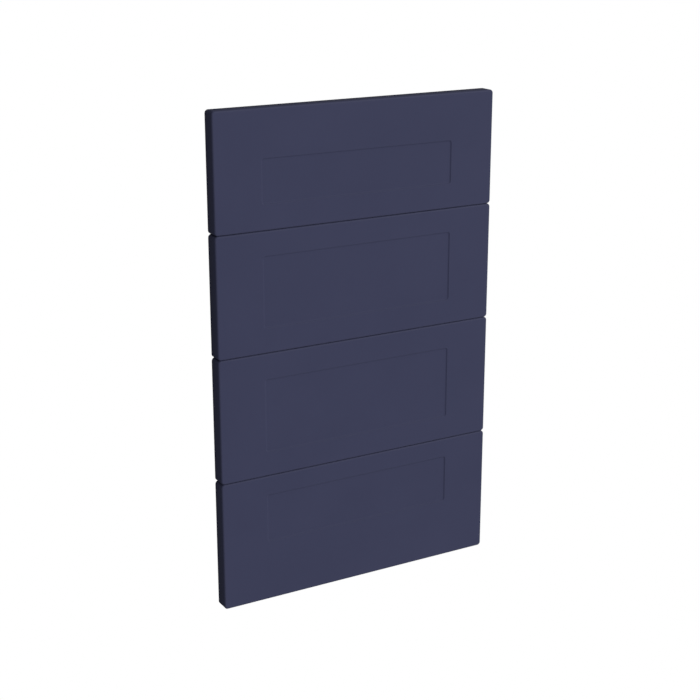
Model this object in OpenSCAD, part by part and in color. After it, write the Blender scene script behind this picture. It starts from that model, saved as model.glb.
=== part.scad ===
// Four drawer fronts for a bathroom vanity unit, stacked as they hang on the
// unit. Each front is an MDF core with a shallow recessed panel. Navy foil
// wraps its face and edges, a white sheet covers its back, and clear buffers
// sit at its back corners. Millimetres. X runs across the fronts from their
// middle, Y from the faces (-Y) to the back plane (y = 0), and Z up from the
// lower edge of the set (z = 0).

/* [Fronts] */
// Width of every front
front_w = 446; // [396:1:596]
// Finished thickness of every front
front_t = 22; // [18:0.5:25]
// Open joint between one front and the next
joint_gap = 0.2; // [0.2:0.1:6]
// Height of the top front
top_h = 166.6; // [140:0.2:240]
// Height of the second front from the top
upper_middle_h = 173.8; // [140:0.2:260]
// Height of the third front from the top
lower_middle_h = 182.8; // [140:0.2:280]
// Height of the bottom front
bottom_h = 193.2; // [170:0.2:320]
// Radius of the four corners, seen from the front
corner_r = 5; // [3.5:0.5:8]
// Radius of the long edges between face and sides
arris_r = 2.5; // [1.5:0.5:3]

/* [Recessed panel] */
// Rail left on each side of the recess
side_rail = 71; // [60:0.5:90]
// Rail above the recess of the top front
top_above = 68; // [50:0.2:75]
// Rail below the recess of the top front
top_below = 36.6; // [25:0.2:40]
// Rail above the recess of the second front
upper_middle_above = 35.2; // [25:0.2:40]
// Rail below the recess of the second front
upper_middle_below = 36.6; // [25:0.2:40]
// Rail above the recess of the third front
lower_middle_above = 38.2; // [25:0.2:40]
// Rail below the recess of the third front
lower_middle_below = 36.6; // [25:0.2:40]
// Rail above the recess of the bottom front
bottom_above = 29.2; // [25:0.2:40]
// Rail below the recess of the bottom front
bottom_below = 92; // [50:0.2:100]
// Depth of the recess below the face
recess_d = 1.2; // [1:0.1:6]
// Radius of the recess's corners, seen from the front
recess_corner_r = 3.5; // [3:0.5:8]
// Radius of the cove between the recess's wall and its floor
cove_r = 1; // [0.5:0.1:1]

/* [Layers] */
// Thickness of the navy foil on the face and the four edges
foil_t = 0.5; // [0.3:0.1:1]
// Thickness of the white sheet on the back
sheet_t = 0.5; // [0.4:0.1:1]

/* [Fixing holes] */
// Diameter of the holes for the drawer's knock-in fixings
hole_d = 10; // [5:0.5:12]
// Depth of those holes from the back plane
hole_depth = 12; // [10:0.5:13]
// Distance from a front's side edges to the middles of its holes
hole_inset = 29.5; // [25:0.5:40]
// Distance between the lower and upper holes
hole_rise = 32; // [32:32:64]
// Height of the lower holes above the front's lower edge
hole_base = 48; // [40:1:60]

/* [Buffers] */
// Diameter of a buffer
buffer_d = 10; // [8:0.5:13]
// How far a buffer stands out from the back
buffer_h = 1.5; // [1:0.5:4]
// Distance from a buffer's middle to the front's edges
buffer_inset = 15; // [10:1:25]

/* [Hidden] */
// One row for each front, from the bottom up: its name, its height, and the
// rails above and below its recess
FRONTS = [
    ["bottom", bottom_h, bottom_above, bottom_below],
    ["lower_middle", lower_middle_h, lower_middle_above, lower_middle_below],
    ["upper_middle", upper_middle_h, upper_middle_above, upper_middle_below],
    ["top", top_h, top_above, top_below]
];
PIECES = ["foil", "core", "back_sheet", "left_buffers", "right_buffers"];

NAVY = [0.235, 0.240, 0.333];
MDF = [0.62, 0.49, 0.35];
WHITE = [0.93, 0.93, 0.92];
CLEAR = [0.88, 0.90, 0.90, 0.6];

// The dome takes this much of a buffer's height, above a straight side
dome_h = buffer_h * 2 / 3;
// Radius of the sphere that the dome is cut from
dome_r = (pow(buffer_d / 2, 2) + pow(dome_h, 2)) / (2 * dome_h);
// How far a cutter reaches past the face that it cuts
past = 1;
// Segments of a round edge
$fn = 48;
// Segments of the large sphere that the dome is cut from
SPHERE_FN = 96;

// Height of front i's lower edge
function lower_edge(i) =
    i == 0 ? 0 : lower_edge(i - 1) + FRONTS[i - 1][1] + joint_gap;

// A w by h rectangle, centred on x = 0 and standing on z = 0, with round
// corners. It is d deep, from y = 0 to y = -d.
module round_slab(w, h, d, r) {
    rotate([90, 0, 0]) linear_extrude(d) {
        translate([-w / 2, r]) square([w, h - 2 * r]);
        translate([-w / 2 + r, 0]) square([w - 2 * r, h]);
        for (x = [-w / 2 + r, w / 2 - r], z = [r, h - r])
            translate([x, z]) circle(r);
    }
}

// Section through a soft slab's edge: u runs outward, v from back to face
module edge_section(d, r, edge_r) {
    square([r, d - edge_r]);
    square([r - edge_r, d]);
    translate([r - edge_r, d - edge_r])
        intersection() {
            circle(edge_r);
            square(edge_r);
        }
}

// A round slab with the edges of its -Y face rounded by edge_r, which is
// smaller than r: a middle block with four edges and four corners round it
module soft_slab(w, h, d, r, edge_r) {
    half_w = w / 2 - r;
    half_h = h / 2 - r;
    translate([0, 0, h / 2]) {
        translate([-half_w, -d, -half_h]) cube([2 * half_w, d, 2 * half_h]);
        for (side = [0, 1])
            mirror([side, 0, 0]) translate([half_w, 0, -half_h])
                linear_extrude(2 * half_h)
                    mirror([0, 1]) edge_section(d, r, edge_r);
        for (under = [0, 1])
            mirror([0, 0, under]) translate([-half_w, 0, half_h])
                rotate([90, 0, 90]) linear_extrude(2 * half_w)
                    rotate(90) edge_section(d, r, edge_r);
        for (side = [0, 1], under = [0, 1])
            mirror([side, 0, 0]) mirror([0, 0, under])
                translate([half_w, 0, half_h]) rotate([90, 0, 0])
                    rotate_extrude(angle = 90) edge_section(d, r, edge_r);
    }
}

// What the router takes out of front f's face. With grow = 0 it is the
// finished recess, and with grow = foil_t the deeper one in the core.
module recess(f, grow) {
    translate([0, -front_t - past, f[3] - grow]) mirror([0, 1, 0])
        soft_slab(front_w - 2 * side_rail + 2 * grow,
            f[1] - f[2] - f[3] + 2 * grow, past + recess_d + grow,
            recess_corner_r + grow, cove_r + grow);
}

// Front f's outside, with its recess
module finished_shape(f) {
    difference() {
        soft_slab(front_w, f[1], front_t, corner_r, arris_r);
        recess(f, 0);
    }
}

// What lies inside the foil: core and back sheet together
module inner_shape(f) {
    difference() {
        translate([0, 0, foil_t])
            soft_slab(front_w - 2 * foil_t, f[1] - 2 * foil_t, front_t - foil_t,
                corner_r - foil_t, arris_r - foil_t);
        recess(f, foil_t);
    }
}

// The four fixing holes, open at the back plane
module fixing_holes() {
    for (x = [-1, 1] * (front_w / 2 - hole_inset),
            z = [hole_base, hole_base + hole_rise])
        translate([x, past, z]) rotate([90, 0, 0])
            cylinder(d = hole_d, h = hole_depth + past);
}

// A flat layer of the front's full outline, from y = -depth to past y = 0
module back_layer(f, depth) {
    translate([-front_w, -depth, -past])
        cube([2 * front_w, depth + past, f[1] + 2 * past]);
}

// Navy foil, on the face and round the four edges
module foil(f) {
    color(NAVY) difference() {
        finished_shape(f);
        inner_shape(f);
    }
}

// MDF board, routed in front and drilled behind
module core(f) {
    color(MDF) difference() {
        inner_shape(f);
        back_layer(f, sheet_t);
        fixing_holes();
    }
}

// White sheet on the core's back
module back_sheet(f) {
    color(WHITE) difference() {
        translate([0, 0, foil_t])
            round_slab(front_w - 2 * foil_t, f[1] - 2 * foil_t, sheet_t,
                corner_r - foil_t);
        fixing_holes();
    }
}

// Two clear buffers with domed tops, stuck on the back near the upper and
// lower corners: side is -1 for the left pair and 1 for the right pair
module buffers(f, side) {
    for (z = [buffer_inset, f[1] - buffer_inset])
        color(CLEAR) translate([side * (front_w / 2 - buffer_inset), 0, z])
            rotate([-90, 0, 0]) rotate_extrude()
                intersection() {
                    translate([0, buffer_h - dome_r]) circle(dome_r, $fn = SPHERE_FN);
                    square([buffer_d / 2, buffer_h]);
                }
}

for (i = [0 : len(FRONTS) - 1]) {
    f = FRONTS[i];
    translate([0, 0, lower_edge(i)]) {
        foil(f);
        core(f);
        back_sheet(f);
        buffers(f, -1);
        buffers(f, 1);
    }
}
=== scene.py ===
"""Looks of the four navy drawer fronts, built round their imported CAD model.

The foil of each front is a closed 0.5 mm shell with soft arrises and a pressed
recess, and its buffers are clear turned domes. Both replace their CAD nodes. The
MDF cores and the white back sheets keep their CAD shape and get materials.
"""

import math

import bmesh
import bpy
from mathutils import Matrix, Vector


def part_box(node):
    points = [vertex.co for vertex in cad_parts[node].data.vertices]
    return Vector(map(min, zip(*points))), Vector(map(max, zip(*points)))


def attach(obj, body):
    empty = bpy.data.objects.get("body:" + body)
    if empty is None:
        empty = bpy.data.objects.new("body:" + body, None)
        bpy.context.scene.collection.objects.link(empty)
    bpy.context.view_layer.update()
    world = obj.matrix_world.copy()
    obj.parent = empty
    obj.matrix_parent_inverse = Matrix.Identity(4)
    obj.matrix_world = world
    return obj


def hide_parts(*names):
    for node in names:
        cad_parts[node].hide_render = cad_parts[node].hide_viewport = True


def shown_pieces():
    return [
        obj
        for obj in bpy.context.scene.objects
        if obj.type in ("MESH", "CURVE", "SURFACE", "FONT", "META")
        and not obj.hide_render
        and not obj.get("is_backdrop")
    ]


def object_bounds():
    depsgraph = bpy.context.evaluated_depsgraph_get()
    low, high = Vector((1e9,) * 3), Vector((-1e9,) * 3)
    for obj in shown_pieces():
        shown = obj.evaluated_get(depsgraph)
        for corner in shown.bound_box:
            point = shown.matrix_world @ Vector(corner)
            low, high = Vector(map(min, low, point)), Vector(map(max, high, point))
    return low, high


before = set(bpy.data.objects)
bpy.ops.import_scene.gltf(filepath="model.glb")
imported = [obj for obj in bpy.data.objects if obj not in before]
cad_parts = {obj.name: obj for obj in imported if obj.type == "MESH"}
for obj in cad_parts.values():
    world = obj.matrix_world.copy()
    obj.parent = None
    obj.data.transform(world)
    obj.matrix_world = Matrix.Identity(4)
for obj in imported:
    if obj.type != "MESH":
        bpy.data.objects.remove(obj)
cad_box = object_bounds()

FRONTS = ["bottom_front", "lower_middle_front", "upper_middle_front", "top_front"]
MM = 0.001

# Camera
AIM_LEFT = 15.55 * MM  # the camera aims this far left of the middle of the faces
AIM_HEIGHT = 360.7 * MM
CAMERA_DISTANCE = 2110 * MM
CAMERA_YAW = math.radians(29.91)
CAMERA_PITCH = math.radians(17.36)
CAMERA_LENS = 75.55  # focal length, in the millimetres of the sensor
SENSOR_WIDTH = 36

# Ground
GROUND_REACH = 60  # metres from the middle to each side
GROUND_SQUARES = 8
GROUND_DROP = 0.2 * MM  # gap that keeps the ground clear of the lowest edge

# Light. The glow comes from all round: an even part, and for each row a part that
# is brightest in one direction and falls off faster the higher its focus is
EVEN_GLOW = 0.092
GLOWS = [
    {"direction": (0.45, -0.87, 0.20), "focus": 2.0, "strength": 0.80},
    {"direction": (0.30, -0.80, -0.60), "focus": 4.0, "strength": 0.19},
]
# Square lights: direction from the object, distance and side in metres, and watts
KEY_LIGHT = {"direction": (0.90, -1.00, 0.70), "distance": 7.0, "side": 3.0, "power": 134}
BACK_LIGHT = {"direction": (-0.25, 1.00, 0.35), "distance": 9.0, "side": 4.0, "power": 640}

# Foil, with the thickness and radii of the CAD model
FOIL = 0.5 * MM
CORNER_R = 5 * MM
ARRIS_R = 2.5 * MM
RECESS_CORNER_R = 3.5 * MM
# What the press does to it
LIP_R = 0.8 * MM  # rounding of the recess's edge
COVE_R = 3 * MM  # soft cove where the foil bridges the foot of the recess's wall
TRIM = 0.12 * MM  # bevel where the foil is trimmed flush with the back
# Wear and painted highlight that are written on its vertices, from 0 for none to 1 on top of
# an arris
SIDE_WEAR_AND_HIGHLIGHT = 0.3
TRIM_WEAR_AND_HIGHLIGHT = 0.6
ARRIS_WEAR_AND_HIGHLIGHT_POWER = 0.7  # below 1 it reaches further round the arris
# Its mesh
FLAT_BAND = 1.2 * MM  # narrow flat band beside each rounding
CORNER_STEPS = 10
ARC_STEPS = 9
LEAST_R = 0.2 * MM  # corners of inset rings stay at least this round
FACE_TOLERANCE = 0.01 * MM  # CAD vertices this near to the face count as on it

# Buffers
FILM = 0.12 * MM  # adhesive film under the dome
FILM_MARGIN = 0.06 * MM  # how far the film reaches past the dome
DOME_SIDE = 0.5 * MM  # straight side below the dome
DOME_TURNS = 64
DOME_STEPS = 14

# Colours, as linear red, green, blue and alpha
BLACK = (0, 0, 0, 1)
WHITE = (1, 1, 1, 1)
NAVY_DARK = (0.0405, 0.0446, 0.0945, 1)
NAVY_LIGHT = (0.0445, 0.0486, 0.1005, 1)
NAVY_GRAIN = (0.068, 0.073, 0.138, 1)
# Lighter navy of the arrises: partly the stretched foil's real wear, partly a painted
# highlight that offsets the shade in the joints
NAVY_WORN_AND_HIGHLIGHT = (0.062, 0.065, 0.112, 1)
BOARD_DARK = (0.330, 0.215, 0.120, 1)
BOARD_LIGHT = (0.400, 0.270, 0.155, 1)
BOARD_FIBRE = (0.540, 0.400, 0.250, 1)
BOARD_FLECK = (0.170, 0.100, 0.052, 1)
SHEET_DARK = (0.790, 0.795, 0.785, 1)
SHEET_LIGHT = (0.835, 0.838, 0.830, 1)
SHEET_SCUFF = (0.640, 0.640, 0.625, 1)
BUFFER_DARK = (0.56, 0.60, 0.60, 1)
BUFFER_LIGHT = (0.64, 0.67, 0.67, 1)

# Materials
NAVY_WORN_AND_HIGHLIGHT_SHARE = 0.30  # most that the worn and painted highlight colour shows
WEAR_POLISH = 0.07  # how much smoother full wear is
EDGE_REFLECTION_POWER = 5.0  # how closely the buffers' painted edge reflection keeps to their edge


# ---------------------------------------------------------------- mesh helpers
def new_piece(name, mesh, material, body, slot, *replaced):
    """Wraps a finished bmesh as a piece of the object, riding on its body."""
    data = bpy.data.meshes.new(name)
    bmesh.ops.recalc_face_normals(mesh, faces=mesh.faces)
    mesh.to_mesh(data)
    mesh.free()
    data.polygons.foreach_set("use_smooth", [True] * len(data.polygons))
    piece = bpy.data.objects.new(name, data)
    bpy.context.scene.collection.objects.link(piece)
    data.materials.append(material)
    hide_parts(*replaced)
    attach(piece, body)
    return piece


def join_rings(mesh, first, second):
    """Quads between two closed rings of the same number of vertices."""
    count = len(first)
    for i in range(count):
        j = (i + 1) % count
        mesh.faces.new((first[i], first[j], second[j], second[i]))


def arc(steps, start, stop):
    """Angles from start to stop in degrees, both ends in, as radians."""
    return [math.radians(start + (stop - start) * i / steps) for i in range(steps + 1)]


# ------------------------------------------------------------------------ foil
class Outline:
    """A rounded rectangle in the XZ plane, which rings can be inset from."""

    def __init__(self, low, high, radius):
        self.middle = (low + high) / 2
        self.half_w = (high.x - low.x) / 2
        self.half_h = (high.z - low.z) / 2
        self.radius = radius

    def ring(self, mesh, inset, y):
        """One ring of vertices, inset from the outline and at depth y."""
        radius = max(self.radius - inset, LEAST_R)
        across = self.half_w - inset - radius
        up = self.half_h - inset - radius
        made = []
        for quarter, (side_x, side_z) in enumerate([(1, 1), (-1, 1), (-1, -1), (1, -1)]):
            for angle in arc(CORNER_STEPS, 90 * quarter, 90 * quarter + 90):
                x = self.middle.x + side_x * across + radius * math.cos(angle)
                z = self.middle.z + side_z * up + radius * math.sin(angle)
                made.append(mesh.verts.new((x, y, z)))
        return made


def measure_recess(cad_foil, face_y, low, high):
    """The recess's outline on the face, and the depth of its floor."""
    margin = CORNER_R + ARRIS_R
    inner = [
        v.co for v in cad_foil.data.vertices
        if abs(v.co.y - face_y) < FACE_TOLERANCE
        and low.x + margin < v.co.x < high.x - margin
        and low.z + margin < v.co.z < high.z - margin
    ]
    recess_low = Vector((min(p.x for p in inner), face_y, min(p.z for p in inner)))
    recess_high = Vector((max(p.x for p in inner), face_y, max(p.z for p in inner)))
    middle = (recess_low + recess_high) / 2
    _, floor, _, _ = cad_foil.ray_cast(middle + Vector((0, -1, 0)), (0, 1, 0))
    return recess_low, recess_high, floor.y - face_y


def edge_profile(thickness, inward):
    """Steps (inset, y, wear and painted highlight) from the back rim round the arris to the
    flat face.

    inward is 0 on the foil's outside and the foil's thickness on its inside.
    """
    radius = ARRIS_R - inward
    centre_y = -(thickness - ARRIS_R)
    steps = [(inward, centre_y, SIDE_WEAR_AND_HIGHLIGHT)]
    for angle in arc(ARC_STEPS, 0, 90)[1:]:
        inset = inward + radius * (1 - math.cos(angle))
        # The arris gets wear and a painted highlight, most halfway round it
        wear_and_highlight = math.sin(2 * angle) ** ARRIS_WEAR_AND_HIGHLIGHT_POWER if angle < math.pi / 2 else 0
        steps.append((inset, centre_y - radius * math.sin(angle), wear_and_highlight))
    steps.append((ARRIS_R + FLAT_BAND, -(thickness - inward), 0))
    return steps


def recess_profile(thickness, depth, inward):
    """Steps (inset, y, wear and painted highlight) from the flat face over the lip to the
    floor.

    Insets are from the recess's outline. The recess is shallower than its two
    radii together, so the lip runs straight into the cove: both turn through the
    same angle, which is less than 90 degrees.
    """
    lip_r = LIP_R - inward
    cove_r = COVE_R + inward
    face_y = -(thickness - inward)
    floor_y = face_y + depth
    turn = math.degrees(math.acos(1 - depth / (LIP_R + COVE_R)))
    steps = [(-LIP_R - FLAT_BAND, face_y, 0)]
    for angle in arc(ARC_STEPS, 0, turn):
        inset = -LIP_R + lip_r * math.sin(angle)
        # The lip of the recess gets wear and a painted highlight too
        wear_and_highlight = math.sin(angle * 180 / turn)
        steps.append((inset, face_y + lip_r * (1 - math.cos(angle)), wear_and_highlight))
    cove_inset = -LIP_R + (LIP_R + COVE_R) * math.sin(math.radians(turn))
    for angle in arc(ARC_STEPS, turn, 0):
        inset = cove_inset - cove_r * math.sin(angle)
        steps.append((inset, floor_y - cove_r * (1 - math.cos(angle)), 0))
    steps.append((cove_inset + FLAT_BAND, floor_y, 0))
    return steps


def foil_side(mesh, wear_and_highlight_layer, outer, recess, thickness, depth, inward):
    """All rings of the foil's outside or inside, from the back rim to the floor."""
    rings = []
    rows = [(outer, step) for step in edge_profile(thickness, inward)]
    rows += [(recess, step) for step in recess_profile(thickness, depth, inward)]
    for outline, (inset, y, wear_and_highlight) in rows:
        ring = outline.ring(mesh, inset, y)
        for vertex in ring:
            # Each vertex gets its share of wear and painted highlight
            vertex[wear_and_highlight_layer] = max(0.0, wear_and_highlight)
        rings.append(ring)
    for first, second in zip(rings, rings[1:]):
        join_rings(mesh, first, second)
    mesh.faces.new(rings[-1])
    return rings[0]


def foil_skin(front, material):
    """The navy foil of one front: a closed shell with its edge at the back."""
    node = front + "_foil"
    low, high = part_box(node)
    recess_low, recess_high, depth = measure_recess(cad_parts[node], low.y, low, high)
    thickness = high.y - low.y
    outer = Outline(low, high, CORNER_R)
    recess = Outline(recess_low, recess_high, RECESS_CORNER_R)
    mesh = bmesh.new()
    # Wear and painted highlight of every vertex, which the navy material reads
    wear_and_highlight_layer = mesh.verts.layers.float.new("wear_and_highlight")
    outside = foil_side(mesh, wear_and_highlight_layer, outer, recess, thickness, depth, 0)
    inside = foil_side(mesh, wear_and_highlight_layer, outer, recess, thickness, depth, FOIL)
    rim = [
        outer.ring(mesh, 0, high.y - TRIM),
        outer.ring(mesh, TRIM, high.y),
        outer.ring(mesh, FOIL, high.y),
    ]
    # The trimmed rim at the back gets wear and a painted highlight
    for vertex in rim[0] + rim[1]:
        vertex[wear_and_highlight_layer] = TRIM_WEAR_AND_HIGHLIGHT
    for first, second in zip([outside] + rim, rim + [inside]):
        join_rings(mesh, first, second)
    return new_piece(front + "_skin", mesh, material, front, "navy_foil", node)


# --------------------------------------------------------------------- buffers
def dome_profile(radius, height):
    """Steps (radius, height, rim) of a buffer from its underside to near its tip.

    rim, which sets the painted edge reflection, is 1 at the dome's edge and falls to 0 at
    its tip and on its underside.
    """
    body_r = radius - FILM_MARGIN
    steps = [(radius, 0, 0), (radius, FILM, 1), (body_r, FILM, 1), (body_r, DOME_SIDE, 1)]
    rise = height - DOME_SIDE
    dome_r = (body_r ** 2 + rise ** 2) / (2 * rise)
    widest = math.degrees(math.asin(body_r / dome_r))
    for angle in arc(DOME_STEPS, widest, 0)[1:-1]:
        out = dome_r * math.sin(angle)
        steps.append((out, height - dome_r * (1 - math.cos(angle)), out / radius))
    return steps


def turned_dome(mesh, rim_layer, middle, radius, height):
    """One clear buffer, turned about +Y, with its film against the back."""
    rings = []
    for ring_r, up, rim in dome_profile(radius, height):
        ring = []
        for i in range(DOME_TURNS):
            angle = 2 * math.pi * i / DOME_TURNS
            x = middle.x + ring_r * math.cos(angle)
            z = middle.z + ring_r * math.sin(angle)
            vertex = mesh.verts.new((x, middle.y + up, z))
            vertex[rim_layer] = rim
            ring.append(vertex)
        rings.append(ring)
    for first, second in zip(rings, rings[1:]):
        join_rings(mesh, first, second)
    mesh.faces.new(rings[0])
    tip = mesh.verts.new((middle.x, middle.y + height, middle.z))
    for i in range(DOME_TURNS):
        mesh.faces.new((rings[-1][i], rings[-1][(i + 1) % DOME_TURNS], tip))


def buffer_pair(front, side, material):
    """Two buffers, near the upper and lower corner of one side of the back."""
    node = front + "_" + side + "_buffers"
    low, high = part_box(node)
    radius = (high.x - low.x) / 2
    mesh = bmesh.new()
    rim_layer = mesh.verts.layers.float.new("rim")
    for z in (low.z + radius, high.z - radius):
        middle = Vector(((low.x + high.x) / 2, low.y, z))
        turned_dome(mesh, rim_layer, middle, radius, high.y - low.y)
    name = front + "_" + side + "_bumpers"
    return new_piece(name, mesh, material, front, "clear_buffer", node)


# ------------------------------------------------------------------- materials
def join_numbers(tree, operation, first, second):
    """Socket with the result of one math node, on sockets or plain numbers."""
    made = tree.nodes.new("ShaderNodeMath")
    made.operation = operation
    for socket, value in zip(made.inputs, (first, second)):
        if isinstance(value, (int, float)):
            socket.default_value = value
        else:
            tree.links.new(value, socket)
    return made.outputs[0]


class Maker:
    """Builds one node material on top of its Principled shader."""

    def __init__(self, name, **settings):
        self.material = bpy.data.materials.new(name)
        self.material.use_nodes = True
        self.tree = self.material.node_tree
        self.shader = self.tree.nodes["Principled BSDF"]
        for key, value in settings.items():
            self.shader.inputs[key.replace("_", " ")].default_value = value
        self.place = self.node("TexCoord").outputs["Object"]
        self.normal = None

    def node(self, kind):
        """A new node of that kind."""
        return self.tree.nodes.new("ShaderNode" + kind)

    def link(self, output, target):
        """Links one node's output to another's input."""
        self.tree.links.new(output, target)

    def noise(self, size, detail=2.0, roughness=0.5, stretch=(1, 1, 1)):
        """Noise from 0 to 1, whose features are about size across."""
        mapping = self.node("Mapping")
        mapping.inputs["Scale"].default_value = stretch
        self.link(self.place, mapping.inputs["Vector"])
        texture = self.node("TexNoise")
        texture.inputs["Scale"].default_value = 1 / size
        texture.inputs["Detail"].default_value = detail
        texture.inputs["Roughness"].default_value = roughness
        self.link(mapping.outputs[0], texture.inputs["Vector"])
        return texture.outputs["Fac"]

    def spread(self, value, low, high, start=0.3, stop=0.7):
        """value from start to stop becomes low to high."""
        ramp = self.node("MapRange")
        for key, number in zip(("From Min", "From Max", "To Min", "To Max"),
                               (start, stop, low, high)):
            ramp.inputs[key].default_value = number
        self.link(value, ramp.inputs["Value"])
        return ramp.outputs["Result"]

    def join(self, operation, first, second):
        """One math operation on sockets or plain numbers."""
        return join_numbers(self.tree, operation, first, second)

    def mix(self, share, first, second):
        """Colour from first at share 0 to second at share 1."""
        made = self.node("Mix")
        made.data_type = "RGBA"
        self.link(share, made.inputs["Factor"])
        for key, value in (("A", first), ("B", second)):
            sockets = [s for s in made.inputs if s.name == key and s.type == "RGBA"]
            if isinstance(value, tuple):
                sockets[0].default_value = value
            else:
                self.link(value, sockets[0])
        return [s for s in made.outputs if s.type == "RGBA"][0]

    def bump(self, height, distance):
        """Adds a relief of that many metres on top of the ones before it."""
        made = self.node("Bump")
        made.inputs["Strength"].default_value = 1.0
        made.inputs["Distance"].default_value = distance
        self.link(height, made.inputs["Height"])
        if self.normal is not None:
            self.link(self.normal, made.inputs["Normal"])
        self.normal = made.outputs["Normal"]

    def painted(self, name):
        """What the builders above wrote on the vertices under that name."""
        made = self.node("Attribute")
        made.attribute_name = name
        return made.outputs["Fac"]

    def done(self, **links):
        """The finished material, with these sockets linked to its shader."""
        for key, value in links.items():
            self.link(value, self.shader.inputs[key.replace("_", " ")])
        if self.normal is not None:
            self.link(self.normal, self.shader.inputs["Normal"])
        return self.material


def navy_foil():
    """Matt navy vinyl: faint clouds, a fine pressed grain, and polished arrises that are
    lighter, partly as real wear and partly as a painted highlight.
    """
    make = Maker("navy_vinyl", IOR=1.46, Specular_IOR_Level=0.16)
    clouds = make.noise(90 * MM, detail=3.0, roughness=0.55)
    grain = make.noise(0.8 * MM, detail=3.0, roughness=0.6)
    peel = make.noise(7 * MM, detail=1.5, roughness=0.4)
    wear_and_highlight = make.painted("wear_and_highlight")
    tone = make.mix(make.spread(clouds, 0, 1), NAVY_DARK, NAVY_LIGHT)
    speckle = make.mix(make.spread(grain, 0, 0.10, start=0.45, stop=0.75), tone, NAVY_GRAIN)
    # Arrises lighter: partly real wear, partly a painted highlight
    worn_and_highlighted = make.mix(make.join("MULTIPLY", wear_and_highlight, NAVY_WORN_AND_HIGHLIGHT_SHARE), speckle, NAVY_WORN_AND_HIGHLIGHT)
    rough = make.join("ADD", make.spread(clouds, 0.58, 0.64),
                      make.spread(grain, -0.03, 0.04))
    rough = make.join("SUBTRACT", rough, make.join("MULTIPLY", wear_and_highlight, WEAR_POLISH))
    make.bump(peel, 0.020 * MM)
    make.bump(grain, 0.020 * MM)
    return make.done(Base_Color=worn_and_highlighted, Roughness=rough)


def mdf_board():
    """Raw fibreboard: short pale and dark fibres, fuzzy where it is cut."""
    make = Maker("mdf_fibre", IOR=1.45, Specular_IOR_Level=0.18)
    fibres = make.noise(0.45 * MM, detail=4.0, roughness=0.7, stretch=(1, 1, 2.6))
    flecks = make.noise(1.6 * MM, detail=3.0, roughness=0.65)
    clouds = make.noise(26 * MM)
    base = make.mix(make.spread(clouds, 0, 1), BOARD_DARK, BOARD_LIGHT)
    pale = make.mix(make.spread(fibres, 0, 0.75, start=0.42, stop=0.72), base, BOARD_FIBRE)
    dark = make.mix(make.spread(flecks, 0, 0.65, start=0.56, stop=0.74), pale, BOARD_FLECK)
    make.bump(flecks, 0.10 * MM)
    make.bump(fibres, 0.09 * MM)
    return make.done(Base_Color=dark, Roughness=make.spread(fibres, 0.82, 0.95))


def white_sheet():
    """White melamine with a pearl texture, a little scuffed."""
    make = Maker("white_melamine", IOR=1.50, Specular_IOR_Level=0.45)
    pearl = make.noise(0.9 * MM)
    haze = make.noise(70 * MM, detail=3.0, roughness=0.6)
    scuffs = make.noise(5 * MM, detail=4.0, roughness=0.7, stretch=(0.16, 1, 1))
    tone = make.mix(make.spread(haze, 0, 1), SHEET_DARK, SHEET_LIGHT)
    marked = make.mix(make.spread(scuffs, 0, 0.30, start=0.66, stop=0.80), tone, SHEET_SCUFF)
    rough = make.join("ADD", make.spread(haze, 0.34, 0.42),
                      make.spread(scuffs, 0, 0.15, start=0.60, stop=0.80))
    make.bump(pearl, 0.030 * MM)
    make.bump(scuffs, 0.006 * MM)
    return make.done(Base_Color=marked, Roughness=rough)


def clear_buffer():
    """Clear polyurethane: see-through in the middle, more opaque towards its edge as a
    painted edge reflection.
    """
    make = Maker("clear_polyurethane", IOR=1.5, Specular_IOR_Level=1.0,
                 Coat_Weight=1.0, Coat_Roughness=0.06)
    skin = make.noise(0.7 * MM)
    haze = make.noise(3 * MM)
    # Opacity grows towards the dome's edge: a painted edge reflection
    painted_edge_reflection = make.join("POWER", make.painted("rim"), EDGE_REFLECTION_POWER)
    tint = make.mix(make.spread(haze, 0, 1), BUFFER_DARK, BUFFER_LIGHT)
    make.bump(skin, 0.006 * MM)
    return make.done(Base_Color=tint, Roughness=make.spread(skin, 0.06, 0.13),
                     Alpha=make.spread(painted_edge_reflection, 0.12, 0.55, start=0, stop=1))


def dress(node, material):
    """Gives a CAD node that stays its material."""
    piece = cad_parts[node]
    for place in piece.material_slots:
        place.material = material


# ----------------------------------------------------------------------- stage
def make_camera():
    """The photograph's view: from the left front, a little above."""
    data = bpy.data.cameras.new("camera")
    data.sensor_width = SENSOR_WIDTH
    data.lens = CAMERA_LENS
    camera = bpy.data.objects.new("camera", data)
    bpy.context.scene.collection.objects.link(camera)
    forward = Vector((math.sin(CAMERA_YAW) * math.cos(CAMERA_PITCH),
                      math.cos(CAMERA_YAW) * math.cos(CAMERA_PITCH),
                      -math.sin(CAMERA_PITCH)))
    face_y = cad_box[0].y
    aim = Vector(((cad_box[0].x + cad_box[1].x) / 2 - AIM_LEFT, face_y, AIM_HEIGHT))
    camera.location = aim - forward * CAMERA_DISTANCE
    camera.rotation_euler = (math.pi / 2 - CAMERA_PITCH, 0, -CAMERA_YAW)
    bpy.context.scene.camera = camera


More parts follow.
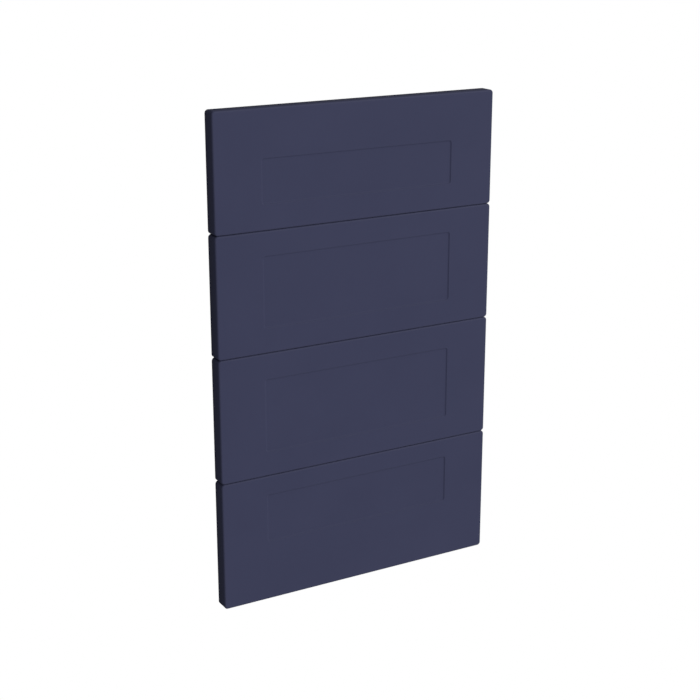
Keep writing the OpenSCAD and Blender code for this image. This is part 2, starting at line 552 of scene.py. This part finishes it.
def make_floor():
    """A wide plain ground that shines evenly white and takes no shadow."""
    mesh = bmesh.new()
    bmesh.ops.create_grid(mesh, x_segments=GROUND_SQUARES, y_segments=GROUND_SQUARES,
                          size=GROUND_REACH)
    data = bpy.data.meshes.new("floor")
    mesh.to_mesh(data)
    mesh.free()
    floor = bpy.data.objects.new("floor", data)
    floor.location.z = cad_box[0].z - GROUND_DROP
    bpy.context.scene.collection.objects.link(floor)
    material = bpy.data.materials.new("white_ground")
    material.use_nodes = True
    shader = material.node_tree.nodes["Principled BSDF"]
    shader.inputs["Base Color"].default_value = BLACK
    shader.inputs["Specular IOR Level"].default_value = 0
    shader.inputs["Emission Color"].default_value = WHITE
    shader.inputs["Emission Strength"].default_value = 1.0
    data.materials.append(material)
    floor.visible_diffuse = False
    floor.visible_glossy = False
    floor.visible_shadow = False
    floor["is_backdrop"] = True


def glow(tree, direction, focus, strength):
    """Socket with one glow's strength, for the direction that is looked up."""
    facing = tree.nodes.new("ShaderNodeVectorMath")
    facing.operation = "DOT_PRODUCT"
    look = tree.nodes.new("ShaderNodeTexCoord")
    tree.links.new(look.outputs["Generated"], facing.inputs[0])
    facing.inputs[1].default_value = Vector(direction).normalized()
    share = tree.nodes.new("ShaderNodeMapRange")
    share.inputs["From Min"].default_value = -1
    tree.links.new(facing.outputs["Value"], share.inputs["Value"])
    focused = join_numbers(tree, "POWER", share.outputs["Result"], focus)
    return join_numbers(tree, "MULTIPLY", focused, strength)


def make_world():
    """White to look at. What lights the pieces is the soft glow all round."""
    world = bpy.data.worlds.new("studio")
    bpy.context.scene.world = world
    world.use_nodes = True
    tree = world.node_tree
    total = EVEN_GLOW
    for row in GLOWS:
        total = join_numbers(tree, "ADD", glow(tree, **row), total)
    lit = tree.nodes["Background"]
    lit.inputs["Color"].default_value = WHITE
    tree.links.new(total, lit.inputs["Strength"])
    seen = tree.nodes.new("ShaderNodeBackground")
    seen.inputs["Color"].default_value = WHITE
    rays = tree.nodes.new("ShaderNodeLightPath")
    both = tree.nodes.new("ShaderNodeMixShader")
    tree.links.new(rays.outputs["Is Camera Ray"], both.inputs[0])
    tree.links.new(lit.outputs[0], both.inputs[1])
    tree.links.new(seen.outputs[0], both.inputs[2])
    tree.links.new(both.outputs[0], tree.nodes["World Output"].inputs["Surface"])


def make_soft_box(name, direction, distance, side, power, lit=None):
    """A square light that faces the middle of the object.

    It lights only the pieces in the collection lit, if that is given.
    """
    middle = (cad_box[0] + cad_box[1]) / 2
    way = Vector(direction).normalized()
    data = bpy.data.lights.new(name, "AREA")
    data.shape = "SQUARE"
    data.size = side
    data.energy = power
    light = bpy.data.objects.new(name, data)
    light.location = middle + way * distance
    light.rotation_euler = (-way).to_track_quat("-Z", "Y").to_euler()
    light.visible_camera = False
    bpy.context.scene.collection.objects.link(light)
    if lit is not None:
        light.light_linking.receiver_collection = lit


def show_plain_colours():
    """Shows the lit colours as they are, with no film curve."""
    bpy.context.scene.view_settings.view_transform = "Standard"
    bpy.context.scene.view_settings.look = "None"


make_camera()
make_floor()
make_world()
show_plain_colours()
backs = bpy.data.collections.new("backs")
make_soft_box("key", **KEY_LIGHT)
make_soft_box("back", **BACK_LIGHT, lit=backs)

navy = navy_foil()
mdf = mdf_board()
white = white_sheet()
clear = clear_buffer()
for front in FRONTS:
    foil_skin(front, navy)
    dress(front + "_core", mdf)
    dress(front + "_back_sheet", white)
    for side in ("left", "right"):
        buffer_pair(front, side, clear)

# The back light is for the backs only, so it leaves out the foil
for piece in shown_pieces():
    if not piece.name.endswith("_skin"):
        backs.objects.link(piece)
